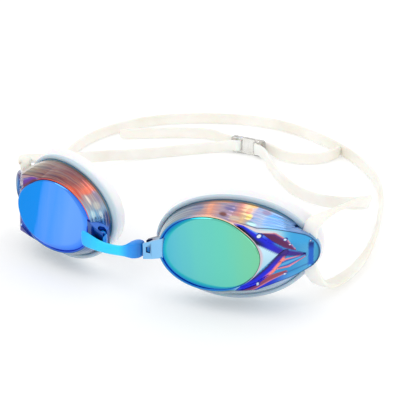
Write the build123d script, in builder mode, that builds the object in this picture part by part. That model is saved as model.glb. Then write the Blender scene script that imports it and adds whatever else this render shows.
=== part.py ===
from build123d import *
import os
from math import ceil, radians, tan

# Swim goggles standing on their gaskets with the head strap laid out behind them. Millimetres.
# The origin is on the ground, midway across the two cups. +X is the wearer's left, +Z is up,
# and the wearer would look along -Y.

# Cup placing: one lens centre, and how the cup is turned about it.
LENS_X = 33.2
LENS_Y = -13.4
LENS_Z = 23.01
WRAP = 9.45
LEAN_BACK = -6.2
TEMPLE_RISE = -2.26

# Lens, in the cup's own axes: u to the temple, w up, depth backwards from the lens's front.
LENS_U = 18.4
LENS_W = 13.6
LENS_THICK = 1.7
LENS_BEVEL = 0.6
BOND = 0.05

# Shell walls and rim.
WALL = 1.3
LEDGE = 1.6
RIM_U = 27.1
RIM_W = 18.7
RIM_CENTRE_U = 5.2
RIM_CENTRE_W = -1.6
RIM_TURN = -6.3
RIM_TILT = 12.2
RIM_DEPTH = 15.0
RIM_THICK = 1.4
MOUTH_U = 23.0
MOUTH_W = 15.6

# Gasket.
GASKET_EDGE = 1.3
GASKET_FRONT = 0.7
LIP_U = 29.7
LIP_W = 20.2
LIP_RISE = 6.2
LIP_LAND = 2.6

# Temple lug with the vertical passage that the strap runs through.
LUG_TIP_U = 36.4
LUG_HALF = 6.5
LUG_FRONT = 15.1
LUG_BACK = 20.7
PASSAGE_U = 32.25
PASSAGE_DEPTH = 18.45
PASSAGE_LONG = 5.9
PASSAGE_WIDE = 2.3
SLOT_LONG = 8.0
SLOT_WIDE = 2.1
SLOT_DEEP = 1.0

# Nose lug and the barrel that it holds.
BARREL_X = 9.9
BARREL_Y = -15.1
BARREL_R = 1.3
BARREL_LONG = 4.6
RUNNING = 0.06
NOSE_LUG_IN = 8.3
NOSE_LUG_OUT = 17.5
NOSE_LUG_FRONT = -17.0
NOSE_LUG_BACK = -11.7
NOSE_LUG_LOW = 17.0
NOSE_LUG_HIGH = 24.0
WINDOW = 1.9
NECK = 1.0
NECK_SLIT = 1.9

# Nose bridge.
BAND_THICK = 1.7
BAND_HALF = 2.5
BLOCK_HALF = 3.3
BRIDGE_Z = 20.3
TAB_GAP = 0.7

# Head strap and its clip.
STRAP_WIDE = 5.5
STRAP_THICK = 1.9
STRAP_Z = STRAP_WIDE / 2 + 0.05
CLIP_X = -13.0
CLIP_Y = 120.6
CLIP_LONG = 17.2
CLIP_DEEP = 2.2
CLIP_HIGH = 8.1
POST = 2.4
POST_GAP = 3.1
CLIP_SILL = 1.2
STRAND_OFF = CLIP_DEEP / 2 + STRAP_THICK / 2 + 0.1
AT_CLIP_Z = CLIP_SILL + 0.1 + STRAP_WIDE / 2
ARC_SHARE = 0.45
ARC_STEP = radians(24)

UP = (0, 0, 1)


def cup_direction(x, y, z):
    """A direction in the left cup's own axes, turned into the goggles' axes."""
    tilted = Vector(x, y, z).rotate(Axis.Y, TEMPLE_RISE).rotate(Axis.X, LEAN_BACK)
    return tilted.rotate(Axis.Z, WRAP)


TO_TEMPLE = cup_direction(1, 0, 0)
BACKWARD = cup_direction(0, 1, 0)
UPWARD = cup_direction(0, 0, 1)
LENS_CENTRE = Vector(LENS_X, LENS_Y, LENS_Z)


def cup_point(u, depth, w):
    return LENS_CENTRE + TO_TEMPLE * u + BACKWARD * depth + UPWARD * w


def facing_plane(u, depth, w, turn=0, tilt=0):
    """A plane facing forwards at a point of the cup, swung back at the temple and turned in itself."""
    forward = Vector(0, -1, 0).rotate(Axis.Z, tilt)
    level = Vector(1, 0, 0).rotate(Axis.Z, tilt).rotate(Axis((0, 0, 0), tuple(forward)), turn)
    return Plane(origin=cup_point(u, depth, w), x_dir=cup_direction(*level), z_dir=cup_direction(*forward))


FRONT = facing_plane(0, 0, 0)
RIM = facing_plane(RIM_CENTRE_U, RIM_DEPTH, RIM_CENTRE_W, RIM_TURN, RIM_TILT)
LIP = facing_plane(RIM_CENTRE_U + 1.2, RIM_DEPTH + LIP_RISE, RIM_CENTRE_W + 0.8, RIM_TURN, RIM_TILT)
FROM_ABOVE = Plane(origin=LENS_CENTRE, x_dir=TO_TEMPLE, z_dir=UPWARD)


def taper(front_plane, front_size, back_plane, back_size, mode=Mode.ADD):
    """A solid between two ellipses, added to the part that is being built."""
    with BuildSketch(front_plane) as front:
        Ellipse(*front_size)
    with BuildSketch(back_plane) as back:
        Ellipse(*back_size)
    loft([front.sketch, back.sketch], ruled=True, mode=mode)


def temple_wing():
    """The wedge that runs from the lens edge to the strap lug, before the cavity is cut."""
    with BuildPart() as wing:
        with BuildSketch(FROM_ABOVE):
            with BuildLine():
                Polyline(
                    (12, 1.6),
                    (19.2, 1.6),
                    (30.0, LUG_FRONT - 1.2),
                    (LUG_TIP_U - 1.6, LUG_FRONT),
                    (LUG_TIP_U, LUG_FRONT + 1.4),
                    (LUG_TIP_U, LUG_BACK - 0.8),
                    (LUG_TIP_U - 1.2, LUG_BACK),
                    (PASSAGE_U - PASSAGE_LONG / 2 - WALL, LUG_BACK),
                    (12, 9),
                    close=True,
                )
            make_face()
        extrude(amount=LENS_W + 4, both=True)
        with BuildSketch(FRONT):
            with BuildLine():
                Polyline(
                    (10, LENS_W - 1),
                    (20, 10.8),
                    (LUG_TIP_U - LUG_HALF, LUG_HALF),
                    (LUG_TIP_U - LUG_HALF, -LUG_HALF),
                    (20, -11.2),
                    (10, -LENS_W + 1),
                    close=True,
                )
            make_face()
            with Locations((LUG_TIP_U - LUG_HALF, 0)):
                Circle(LUG_HALF)
        extrude(amount=-30, mode=Mode.INTERSECT)
    return wing.part


def strap_passage():
    """The slot through the temple lug, top to bottom, with room for the strap."""
    with BuildPart() as passage:
        with BuildSketch(FROM_ABOVE):
            with Locations((PASSAGE_U, PASSAGE_DEPTH)):
                Rectangle(PASSAGE_LONG, PASSAGE_WIDE)
        extrude(amount=LENS_W, both=True)
    return passage.part


def nose_lug():
    """The block on the nose side that the bridge's barrel snaps into."""
    length = NOSE_LUG_OUT - NOSE_LUG_IN
    depth = NOSE_LUG_BACK - NOSE_LUG_FRONT
    height = NOSE_LUG_HIGH - NOSE_LUG_LOW
    centre = (NOSE_LUG_IN + length / 2, NOSE_LUG_FRONT + depth / 2, NOSE_LUG_LOW + height / 2)
    with BuildPart() as lug:
        with Locations(centre):
            Box(length, depth, height)
        fillet(lug.edges().filter_by(Axis.Y).sort_by(Axis.X)[:2], 1.0)
    return lug.part


def barrel_seat():
    """The bore for the barrel, the slit for its neck and the square window in front of it."""
    seat_long = BARREL_LONG + 2 * RUNNING
    with BuildPart() as seat:
        with Locations((BARREL_X, BARREL_Y, BRIDGE_Z)):
            Cylinder(BARREL_R + RUNNING, seat_long)
        with Locations((BARREL_X, BARREL_Y - 2, BRIDGE_Z)):
            Box(WINDOW, 4, WINDOW + 0.4)
        with Locations((BARREL_X - 2, BARREL_Y, BRIDGE_Z)):
            Box(4, NECK_SLIT, seat_long)
    return seat.part


def lens():
    with BuildPart() as body:
        with BuildSketch(FRONT):
            Ellipse(LENS_U - LENS_BEVEL, LENS_W - LENS_BEVEL)
        with BuildSketch(FRONT.offset(-LENS_BEVEL)):
            Ellipse(LENS_U, LENS_W)
        loft(ruled=True)
        with BuildSketch(FRONT.offset(-LENS_BEVEL)):
            Ellipse(LENS_U, LENS_W)
        extrude(amount=-(LENS_THICK - LENS_BEVEL))
    return body.part


def cavity(mode):
    """The space in front of the eye, from the lens ledge to the rim's mouth."""
    inner_front = (LENS_U - LEDGE, LENS_W - LEDGE)
    with BuildSketch(FRONT) as opening:
        Ellipse(*inner_front)
    extrude(opening.sketch, amount=-(LENS_THICK + 1.2), mode=mode)
    taper(FRONT.offset(-LENS_THICK - 1.0), inner_front, RIM.offset(-RIM_THICK), (MOUTH_U, MOUTH_W), mode)


def shell():
    with BuildPart() as body:
        taper(FRONT.offset(-LENS_BEVEL), (LENS_U + WALL, LENS_W + WALL), RIM, (RIM_U - 1.0, RIM_W - 1.0))
        with BuildSketch(RIM):
            Ellipse(RIM_U, RIM_W)
        extrude(amount=-RIM_THICK)
        add(temple_wing())
        add(nose_lug())
        with BuildSketch(FRONT):
            Ellipse(LENS_U + BOND, LENS_W + BOND)
        extrude(amount=-(LENS_THICK + BOND), mode=Mode.SUBTRACT)
        cavity(Mode.SUBTRACT)
        add(strap_passage(), mode=Mode.SUBTRACT)
        add(barrel_seat(), mode=Mode.SUBTRACT)
        with BuildSketch(facing_plane(PASSAGE_U + 1.6, LUG_FRONT - 1.5, -0.6)):
            SlotOverall(SLOT_LONG, SLOT_WIDE, rotation=90)
        extrude(amount=-(SLOT_DEEP + 1.5), mode=Mode.SUBTRACT)
    return body.part


def gasket():
    """A ring that wraps the rim's edge and widens back to the lip that seals on the face."""
    outer_front = (RIM_U + GASKET_EDGE, RIM_W + GASKET_EDGE)
    inner_lip = (LIP_U - LIP_LAND, LIP_W - LIP_LAND)
    with BuildPart() as ring:
        taper(RIM.offset(GASKET_FRONT), outer_front, LIP, (LIP_U, LIP_W))
        taper(RIM.offset(GASKET_FRONT + 0.1), (RIM_U - 0.9, RIM_W - 0.9), RIM, (RIM_U - 0.9, RIM_W - 0.9),
              Mode.SUBTRACT)
        with BuildSketch(RIM.offset(BOND)):
            Ellipse(RIM_U + BOND, RIM_W + BOND)
        extrude(amount=-(RIM_THICK + 2 * BOND), mode=Mode.SUBTRACT)
        taper(RIM.offset(-RIM_THICK), (MOUTH_U + 1.2, MOUTH_W + 1.2), LIP.offset(-0.1), inner_lip, Mode.SUBTRACT)
        add(temple_wing(), mode=Mode.SUBTRACT)
        add(strap_passage(), mode=Mode.SUBTRACT)
    return ring.part


def bridge_barrel(side):
    """The upright barrel at one end of the bridge, and the neck that joins it to the band."""
    with Locations((side * BARREL_X, BARREL_Y, BRIDGE_Z)):
        Cylinder(BARREL_R, BARREL_LONG)
    with Locations((side * (BARREL_X - 1.9), BARREL_Y, BRIDGE_Z)):
        Box(3.0, NECK, BARREL_LONG - 0.4)


def nose_bridge():
    """A band with a thick block at the left end and a tab that covers the right cup's nose lug."""
    block_end = NOSE_LUG_IN - 0.8
    tab_front = NOSE_LUG_FRONT - TAB_GAP - BAND_THICK
    with BuildPart() as bridge:
        with BuildSketch(Plane.XY.offset(BRIDGE_Z - BAND_HALF)):
            with BuildLine():
                Polyline(
                    (block_end, tab_front + 1.6),
                    (block_end - 1.5, tab_front + 0.6),
                    (2.0, tab_front),
                    (-16.6, tab_front),
                    (-16.6, tab_front + BAND_THICK),
                    (-NOSE_LUG_IN + 0.7, tab_front + BAND_THICK),
                    (-NOSE_LUG_IN + 0.7, BARREL_Y + 0.9),
                    (-NOSE_LUG_IN + 2.2, BARREL_Y + 0.9),
                    (-NOSE_LUG_IN + 3.2, tab_front + BAND_THICK),
                    (1.2, tab_front + BAND_THICK),
                    (2.6, BARREL_Y + 1.3),
                    (block_end, BARREL_Y + 1.3),
                    close=True,
                )
            make_face()
        extrude(amount=2 * BAND_HALF)
        with BuildSketch(Plane.XY.offset(BRIDGE_Z - BLOCK_HALF)):
            with BuildLine():
                Polyline(
                    (block_end, tab_front + 1.6),
                    (block_end - 1.5, tab_front + 0.6),
                    (2.4, tab_front + 0.3),
                    (2.6, BARREL_Y + 1.3),
                    (block_end, BARREL_Y + 1.3),
                    close=True,
                )
            make_face()
        extrude(amount=2 * BLOCK_HALF)
        bridge_barrel(1)
        bridge_barrel(-1)
    return bridge.part


def strap_clip():
    """A standing frame with a post at each end that a strap end loops round."""
    post_centre = CLIP_LONG / 2 - POST / 2
    slot_centre = post_centre - POST / 2 - POST_GAP / 2
    with BuildPart() as clip:
        with Locations((CLIP_X, CLIP_Y, CLIP_HIGH / 2)):
            Box(CLIP_LONG, CLIP_DEEP, CLIP_HIGH)
        fillet(clip.edges().filter_by(Axis.Y), 1.0)
        with Locations(
            (CLIP_X - slot_centre, CLIP_Y, CLIP_HIGH / 2),
            (CLIP_X + slot_centre, CLIP_Y, CLIP_HIGH / 2),
        ):
            Box(POST_GAP, 2 * CLIP_DEEP, CLIP_HIGH - 2 * CLIP_SILL, mode=Mode.SUBTRACT)
    return clip.part


# The strap's route, as points of its centreline with the way its width points there.
PASSAGE_TOP = cup_point(PASSAGE_U, PASSAGE_DEPTH, 7.0)
PASSAGE_LOW = cup_point(PASSAGE_U, PASSAGE_DEPTH, -7.0)
ACROSS = tuple(TO_TEMPLE)
POST_X = CLIP_LONG / 2 - POST - STRAP_THICK / 2 - 1.0

UPPER_LEFT = [
    (tuple(PASSAGE_TOP), ACROSS),
    ((63.0, 13.2, 31.2), ACROSS),
    ((64.6, 18.4, 31.8), (1, 0.1, 0.35)),
    ((66.6, 26.4, 31.0), (1, 0, 0.6)),
    ((68.6, 36.0, 29.2), (0.8, 0, 0.9)),
    ((70.0, 45.0, 26.4), (0.5, 0, 1)),
    ((69.4, 54.0, 22.2), (0.3, 0, 1)),
    ((65.4, 62.6, 17.0), (0.1, 0, 1)),
    ((58.0, 69.8, 11.8), UP),
    ((47.6, 75.3, 7.4), UP),
    ((35.4, 80.5, 4.4), UP),
    ((23.4, 88.5, STRAP_Z), UP),
    ((12.4, 98.5, STRAP_Z), UP),
    ((2.6, 109.3, STRAP_Z), UP),
    ((-1.6, 116.3, STRAP_Z), UP),
    ((CLIP_X + CLIP_LONG / 2 - 1.6, CLIP_Y - STRAND_OFF, AT_CLIP_Z), UP),
    ((CLIP_X + POST_X, CLIP_Y - STRAND_OFF, AT_CLIP_Z), UP),
    ((CLIP_X + POST_X, CLIP_Y + STRAND_OFF, AT_CLIP_Z), UP),
    ((CLIP_X + CLIP_LONG / 2 + 1.8, CLIP_Y + STRAND_OFF, AT_CLIP_Z), UP),
    ((3.0, 121.0, STRAP_Z), UP),
    ((8.2, 119.8, STRAP_Z), UP),
    ((12.8, 120.3, STRAP_Z), UP),
    ((18.6, 122.7, STRAP_Z), UP),
    ((23.6, 127.1, STRAP_Z), UP),
    ((26.2, 132.9, STRAP_Z), UP),
    ((27.0, 138.5, STRAP_Z), UP),
]

LOWER = [
    (tuple(PASSAGE_LOW), ACROSS),
    ((64.1, 9.4, 11.2), ACROSS),
    ((65.8, 13.0, 5.4), (1, 0, 0)),
    ((67.9, 19.9, 2.4), (1, -0.3, 0)),
    ((70.2, 28.0, 2.2), (1, -0.4, 0.2)),
    ((71.8, 38.0, 2.5), (1, 0, 0.5)),
    ((71.6, 50.0, 2.8), (1, 0, 1.2)),
    ((69.8, 64.2, 3.0), (0.4, 0, 1)),
    ((66.6, 79.5, STRAP_Z), UP),
    ((62.2, 95.1, STRAP_Z), UP),
    ((56.0, 110.1, STRAP_Z), UP),
    ((46.8, 123.1, STRAP_Z), UP),
    ((35.0, 134.3, STRAP_Z), UP),
    ((21.4, 143.3, STRAP_Z), UP),
    ((6.2, 150.5, STRAP_Z), UP),
    ((-9.8, 154.7, STRAP_Z), UP),
    ((-26.2, 154.3, STRAP_Z), UP),
    ((-42.4, 149.3, STRAP_Z), UP),
    ((-58.0, 141.5, STRAP_Z), UP),
    ((-72.0, 130.9, STRAP_Z), UP),
    ((-81.8, 116.9, STRAP_Z), UP),
    ((-87.2, 101.7, STRAP_Z), UP),
    ((-88.2, 86.3, STRAP_Z), UP),
    ((-85.4, 71.1, STRAP_Z), UP),
    ((-80.6, 56.7, 3.0), (-0.4, 0, 1)),
    ((-75.4, 43.3, 2.8), (-1, 0, 1.2)),
    ((-70.8, 31.5, 2.6), (-1, 0, 0.5)),
    ((-68.2, 21.6, 3.0), (-1, 0, 0)),
    ((-65.8, 13.4, 5.8), (-1, 0.1, 0)),
    ((-64.1, 9.4, 11.2), (-1, 0.16, 0)),
    ((-PASSAGE_LOW.X, PASSAGE_LOW.Y, PASSAGE_LOW.Z), (-1, 0.16, 0.04)),
]

UPPER_RIGHT = [
    ((-PASSAGE_TOP.X, PASSAGE_TOP.Y, PASSAGE_TOP.Z), (-1, 0.16, 0.04)),
    ((-63.8, 12.6, 30.2), (-1, 0.16, 0.04)),
    ((-65.6, 18.0, 27.8), (-1, 0.1, 0.35)),
    ((-66.0, 26.8, 24.2), (-1, 0, 0.6)),
    ((-66.2, 37.4, 19.2), (-1, 0, 0.8)),
    ((-67.0, 49.0, 14.6), (-0.6, 0, 1)),
    ((-68.4, 61.0, 10.6), (-0.2, 0, 1)),
    ((-68.8, 72.4, 6.4), UP),
    ((-64.6, 83.1, 3.8), UP),
    ((-56.2, 91.3, STRAP_Z), UP),
    ((-47.4, 98.5, STRAP_Z), UP),
    ((-39.2, 105.9, STRAP_Z), UP),
    ((-31.4, 112.5, STRAP_Z), UP),
    ((-26.0, 116.5, STRAP_Z), UP),
    ((CLIP_X - CLIP_LONG / 2 + 1.6, CLIP_Y - STRAND_OFF, AT_CLIP_Z), UP),
    ((CLIP_X - POST_X, CLIP_Y - STRAND_OFF, AT_CLIP_Z), UP),
    ((CLIP_X - POST_X, CLIP_Y + STRAND_OFF, AT_CLIP_Z), UP),
    ((CLIP_X - CLIP_LONG / 2 - 1.8, CLIP_Y + STRAND_OFF, AT_CLIP_Z), UP),
    ((-29.0, 125.9, STRAP_Z), UP),
    ((-35.0, 128.5, STRAP_Z), UP),
    ((-42.2, 127.5, STRAP_Z), UP),
    ((-49.6, 124.3, STRAP_Z), UP),
    ((-57.2, 120.5, STRAP_Z), UP),
    ((-64.6, 116.1, STRAP_Z), UP),
    ((-71.2, 112.1, STRAP_Z), UP),
    ((-77.4, 108.5, STRAP_Z), UP),
]


def corner_turns(points):
    """How far the route turns at each inner point, in radians."""
    turns = []
    for before, corner, after in zip(points, points[1:], points[2:]):
        turns.append(radians((corner - before).get_angle(after - corner)))
    return turns


def corner_radii(points, turns):
    """For each inner point, 0.45 of its shorter run over the tangent of half its turn."""
    radii = []
    for before, corner, after, turn in zip(points, points[1:], points[2:], turns):
        shorter = min((corner - before).length, (after - corner).length)
        radii.append(ARC_SHARE * shorter / tan(turn / 2))
    return radii


def strap_stations(points, widths, turns, radii):
    """How far along the strap each cross-section stands, with the way that its width points."""
    stations = [(0.0, widths[0])]
    here = 0.0
    last_tangent = 0.0
    corners = zip(points, points[1:], widths, widths[1:], widths[2:], turns, radii)
    for start, corner, width_in, width, width_out, turn, radius in corners:
        tangent = radius * tan(turn / 2)
        here += (corner - start).length - last_tangent - tangent
        steps = max(2, ceil(turn / ARC_STEP))
        for step in range(steps + 1):
            share = step / steps - 0.5
            side = width_in if share < 0 else width_out
            stations.append((here + radius * turn * step / steps, width + (side - width) * abs(share)))
        here += radius * turn
        last_tangent = tangent
    here += (points[-1] - points[-2]).length - last_tangent
    stations.append((here, widths[-1]))
    return stations


def head_strap(route):
    """A flat band along runs and tangent arcs, whose width turns gradually from point to point."""
    points = [Vector(*place) for place, _ in route]
    widths = [Vector(*width).normalized() for _, width in route]
    turns = corner_turns(points)
    radii = corner_radii(points, turns)
    with BuildLine() as line:
        FilletPolyline(*points, radius=radii)
    path = line.wires()[0]
    with BuildPart() as strap:
        for distance, width in strap_stations(points, widths, turns, radii):
            place = path.position_at(distance, PositionMode.LENGTH)
            tangent = path.tangent_at(distance, PositionMode.LENGTH)
            across = width - tangent * width.dot(tangent)
            with BuildSketch(Plane(origin=place, x_dir=across, z_dir=tangent)):
                Rectangle(STRAP_WIDE, STRAP_THICK)
        loft(ruled=True)
    return strap.part


def save(body, name):
    body.label = name
    export_step(body, f"parts/{name}.step")


os.makedirs("parts", exist_ok=True)
for piece, make in (("lens", lens), ("shell", shell), ("gasket", gasket)):
    left_piece = make()
    save(left_piece, f"left_{piece}")
    save(mirror(left_piece, about=Plane.YZ), f"right_{piece}")
save(nose_bridge(), "nose_bridge")
save(strap_clip(), "strap_clip")
save(head_strap(UPPER_RIGHT[::-1] + LOWER[::-1] + UPPER_LEFT), "head_strap")
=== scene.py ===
from math import cos, exp, pi, radians, sin, sqrt

import bmesh
import bpy
from mathutils import Matrix, Vector
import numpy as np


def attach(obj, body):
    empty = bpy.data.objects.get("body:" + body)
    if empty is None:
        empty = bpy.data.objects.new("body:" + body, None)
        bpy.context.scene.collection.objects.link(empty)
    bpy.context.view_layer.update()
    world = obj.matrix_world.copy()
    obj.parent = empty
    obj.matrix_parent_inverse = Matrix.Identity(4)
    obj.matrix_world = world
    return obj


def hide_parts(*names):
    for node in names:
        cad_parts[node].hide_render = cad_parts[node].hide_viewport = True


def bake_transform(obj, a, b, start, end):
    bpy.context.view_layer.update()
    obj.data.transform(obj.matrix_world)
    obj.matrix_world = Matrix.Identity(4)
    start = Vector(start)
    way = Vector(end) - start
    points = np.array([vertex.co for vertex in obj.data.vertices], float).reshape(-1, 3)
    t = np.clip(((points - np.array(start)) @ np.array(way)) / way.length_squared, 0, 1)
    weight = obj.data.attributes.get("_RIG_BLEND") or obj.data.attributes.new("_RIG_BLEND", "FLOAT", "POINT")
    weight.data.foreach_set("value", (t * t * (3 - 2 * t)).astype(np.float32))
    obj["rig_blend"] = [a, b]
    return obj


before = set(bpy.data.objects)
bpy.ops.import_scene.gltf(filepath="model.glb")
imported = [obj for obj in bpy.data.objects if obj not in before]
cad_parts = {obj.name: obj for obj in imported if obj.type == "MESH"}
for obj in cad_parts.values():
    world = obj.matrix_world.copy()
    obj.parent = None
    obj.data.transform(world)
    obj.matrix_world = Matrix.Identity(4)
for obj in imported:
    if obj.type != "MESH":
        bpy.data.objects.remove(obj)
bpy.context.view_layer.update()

MM = 0.001

# ---------------------------------------------------------------- camera, floor and light

AZIMUTH = radians(26.75)
ELEVATION = radians(26.67)
CAMERA_DISTANCE = 0.3675
CAMERA_TARGET = Vector((0.0329, -0.0134, 0.0413))
LENS_LENGTH = 92.1


def add_camera():
    back = Vector((sin(AZIMUTH) * cos(ELEVATION), -cos(AZIMUTH) * cos(ELEVATION), sin(ELEVATION)))
    data = bpy.data.cameras.new("camera")
    data.lens = LENS_LENGTH
    data.clip_start = 0.01
    camera = bpy.data.objects.new("camera", data)
    camera.location = CAMERA_TARGET + back * CAMERA_DISTANCE
    camera.rotation_euler = back.to_track_quat("Z", "Y").to_euler()
    bpy.context.collection.objects.link(camera)
    bpy.context.scene.camera = camera


def add_light(name, place, target, size, watts, colour=(1, 1, 1)):
    data = bpy.data.lights.new(name, "AREA")
    data.shape = "DISK"
    data.size = size
    data.energy = watts
    data.color = colour
    light = bpy.data.objects.new(name, data)
    light.location = place
    light.rotation_euler = (Vector(place) - Vector(target)).to_track_quat("Z", "Y").to_euler()
    bpy.context.collection.objects.link(light)


def add_stage():
    world = bpy.data.worlds.new("studio")
    world.use_nodes = True
    world.node_tree.nodes["Background"].inputs["Color"].default_value = (1.0, 1.0, 1.0, 1)
    world.node_tree.nodes["Background"].inputs["Strength"].default_value = 0.93
    bpy.context.scene.world = world
    bpy.ops.mesh.primitive_plane_add(size=6.0, location=(0, 0, -0.0002))
    floor = bpy.context.active_object
    floor.name = "floor"
    paint = bpy.data.materials.new("floor")
    paint.use_nodes = True
    shader = paint.node_tree.nodes["Principled BSDF"]
    shader.inputs["Base Color"].default_value = (0.78, 0.78, 0.78, 1)
    shader.inputs["Emission Color"].default_value = (1.0, 1.0, 1.0, 1)
    shader.inputs["Emission Strength"].default_value = 0.26
    shader.inputs["Roughness"].default_value = 0.9
    shader.inputs["Specular IOR Level"].default_value = 0.1
    floor.data.materials.append(paint)
    middle = (0.0, 0.05, 0.02)
    add_light("key", (-0.35, -0.25, 0.75), middle, 0.5, 1.0)
    add_light("fill", (0.7, -0.45, 0.55), middle, 0.6, 0.6)
    add_light("back", (0.1, 0.9, 0.7), middle, 0.6, 0.7)
    bpy.context.scene.view_settings.view_transform = "Standard"


# ---------------------------------------------------------------- materials


class Nodes:
    """A material's node tree, with short ways to add what the finishes share."""

    def __init__(self, name):
        self.material = bpy.data.materials.new(name)
        self.material.use_nodes = True
        self.tree = self.material.node_tree
        self.shader = self.tree.nodes["Principled BSDF"]

    def set(self, **sockets):
        for name, value in sockets.items():
            self.shader.inputs[name.replace("_", " ")].default_value = value

    def link(self, source, target):
        self.tree.links.new(source, target)

    def add(self, kind, **values):
        node = self.tree.nodes.new(kind)
        for name, value in values.items():
            if hasattr(node, name):
                setattr(node, name, value)
            else:
                node.inputs[name.replace("_", " ")].default_value = value
        return node

    def attribute(self, name):
        return self.add("ShaderNodeAttribute", attribute_name=name).outputs["Fac"]

    def place(self):
        return self.add("ShaderNodeTexCoord").outputs["Object"]

    def maths(self, operation, first, second, clamp=False):
        node = self.add("ShaderNodeMath", operation=operation, use_clamp=clamp)
        for socket, value in zip(node.inputs, (first, second)):
            if isinstance(value, (int, float)):
                socket.default_value = value
            else:
                self.link(value, socket)
        return node.outputs[0]

    def times(self, first, second):
        return self.maths("MULTIPLY", first, second)

    def ramp(self, factor, stops):
        node = self.tree.nodes.new("ShaderNodeValToRGB")
        elements = node.color_ramp.elements
        while len(elements) < len(stops):
            elements.new(0.5)
        for element, (position, colour) in zip(elements, stops):
            element.position = position
            element.color = (*srgb(*colour), 1)
        self.link(factor, node.inputs["Fac"])
        return node.outputs["Color"]

    def mix(self, factor, first, second):
        node = self.add("ShaderNodeMix", data_type="RGBA")
        for socket, value in ((node.inputs[0], factor), (node.inputs[6], first), (node.inputs[7], second)):
            if isinstance(value, (int, float)):
                socket.default_value = value
            elif isinstance(value, tuple):
                socket.default_value = (*value, 1)
            else:
                self.link(value, socket)
        return node.outputs[2]

    def noise(self, vector, scale, detail=3.0, roughness=0.5, distortion=0.0):
        node = self.add("ShaderNodeTexNoise", Scale=scale, Detail=detail, Roughness=roughness,
                        Distortion=distortion)
        self.link(vector, node.inputs["Vector"])
        return node.outputs["Fac"]

    def stretched(self, x, y, z):
        """Coordinates made of three numbers, for streaks that follow the shape."""
        node = self.tree.nodes.new("ShaderNodeCombineXYZ")
        for socket, value in zip(node.inputs, (x, y, z)):
            if isinstance(value, (int, float)):
                socket.default_value = value
            else:
                self.link(value, socket)
        return node.outputs[0]

    def bump(self, height, strength, distance):
        node = self.add("ShaderNodeBump", Strength=strength, Distance=distance)
        self.link(height, node.inputs["Height"])
        self.link(node.outputs[0], self.shader.inputs["Normal"])

    def colour(self, source):
        self.link(source, self.shader.inputs["Base Color"])

    def roughness(self, vector, scale, low, high):
        node = self.add("ShaderNodeMapRange")
        self.link(self.noise(vector, scale), node.inputs["Value"])
        node.inputs["To Min"].default_value = low
        node.inputs["To Max"].default_value = high
        self.link(node.outputs[0], self.shader.inputs["Roughness"])


def srgb(red, green, blue):
    """A colour given as it looks on screen, 0 to 255, turned into light."""
    light = []
    for value in (red, green, blue):
        share = value / 255
        light.append(((share + 0.055) / 1.055) ** 2.4 if value > 10 else share / 12.92)
    return tuple(light)


def mirror_material(name, across, edge):
    """An interference mirror whose colour drifts across the lens; edge holds the colours down its slope."""
    m = Nodes(name)
    m.set(Metallic=1.0, IOR=1.5, Coat_Weight=0.12, Coat_Roughness=0.03)
    sideways = m.attribute("across")
    height = m.attribute("height")
    drift = m.maths("ADD", sideways, m.times(m.maths("SUBTRACT", height, 0.5), 0.1))
    soft = m.noise(m.stretched(m.times(sideways, 9.0), m.times(height, 0.6), 0.0), 1.6)
    drift = m.maths("ADD", drift, m.times(m.maths("SUBTRACT", soft, 0.5), 0.14))
    face = m.ramp(drift, across)
    slope = m.attribute("bevel")
    m.colour(m.mix(m.maths("MULTIPLY", slope, 4.0, clamp=True), face, m.ramp(slope, edge)))
    m.roughness(m.place(), 900.0, 0.08, 0.14)
    return m.material


def shell_material(name, seed):
    """Stands in for tinted clear plastic: an opaque, mostly metallic surface in the painted colour,
    with faint oil-film streaks that run round the wall."""
    m = Nodes(name)
    m.set(Metallic=0.88, IOR=1.58, Coat_Weight=0.35, Coat_Roughness=0.04)
    around = m.attribute("around")
    along = m.attribute("along")
    wobble = m.noise(m.stretched(m.times(around, 14.0), m.times(along, 2.0), 3.0), 1.0, 2.0)
    level = m.maths("ADD", along, m.times(wobble, 0.18))
    streak = m.noise(m.stretched(m.times(around, 9.0), m.times(level, 17.0), seed), 1.0, 3.0, 0.55, 0.6)
    oil = m.ramp(streak, [
        (0.20, (40, 50, 90)),
        (0.36, (70, 120, 170)),
        (0.45, (150, 90, 120)),
        (0.52, (230, 130, 100)),
        (0.60, (252, 220, 180)),
        (0.72, (150, 190, 215)),
        (0.85, (60, 130, 200)),
    ])
    paint = m.add("ShaderNodeAttribute", attribute_name="paint").outputs["Color"]
    m.colour(m.mix(m.times(m.attribute("streak"), 0.17), paint, oil))
    m.roughness(m.place(), 700.0, 0.08, 0.16)
    return m.material


def gasket_material():
    m = Nodes("frosted silicone")
    m.set(IOR=1.41, Subsurface_Weight=0.35, Subsurface_Scale=0.004, Coat_Weight=0.25, Coat_Roughness=0.25)
    tint = m.ramp(m.attribute("along"), [
        (0.00, (176, 200, 214)),
        (0.22, (192, 212, 224)),
        (0.40, (214, 226, 234)),
        (0.55, (244, 246, 248)),
        (1.00, (252, 252, 253)),
    ])
    cloud = m.noise(m.place(), 160.0, 4.0)
    m.colour(m.mix(m.times(cloud, 0.18), tint, srgb(225, 232, 240)))
    m.roughness(m.place(), 500.0, 0.32, 0.46)
    m.bump(m.noise(m.place(), 2600.0, 2.0), 0.12, 0.00005)
    return m.material


def bridge_material():
    m = Nodes("bridge blue")
    m.set(IOR=1.48, Subsurface_Weight=0.15, Subsurface_Scale=0.002, Coat_Weight=0.15, Coat_Roughness=0.2)
    tone = m.ramp(m.attribute("along"), [
        (0.00, (2, 176, 246)),
        (0.30, (4, 208, 255)),
        (0.66, (8, 214, 255)),
        (0.82, (0, 146, 240)),
        (0.92, (0, 128, 224)),
        (1.00, (0, 100, 190)),
    ])
    m.colour(m.mix(m.times(m.noise(m.place(), 700.0), 0.15), tone, srgb(10, 176, 250)))
    m.roughness(m.place(), 400.0, 0.28, 0.42)
    m.bump(m.noise(m.place(), 3000.0, 2.0), 0.1, 0.00004)
    return m.material


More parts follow.
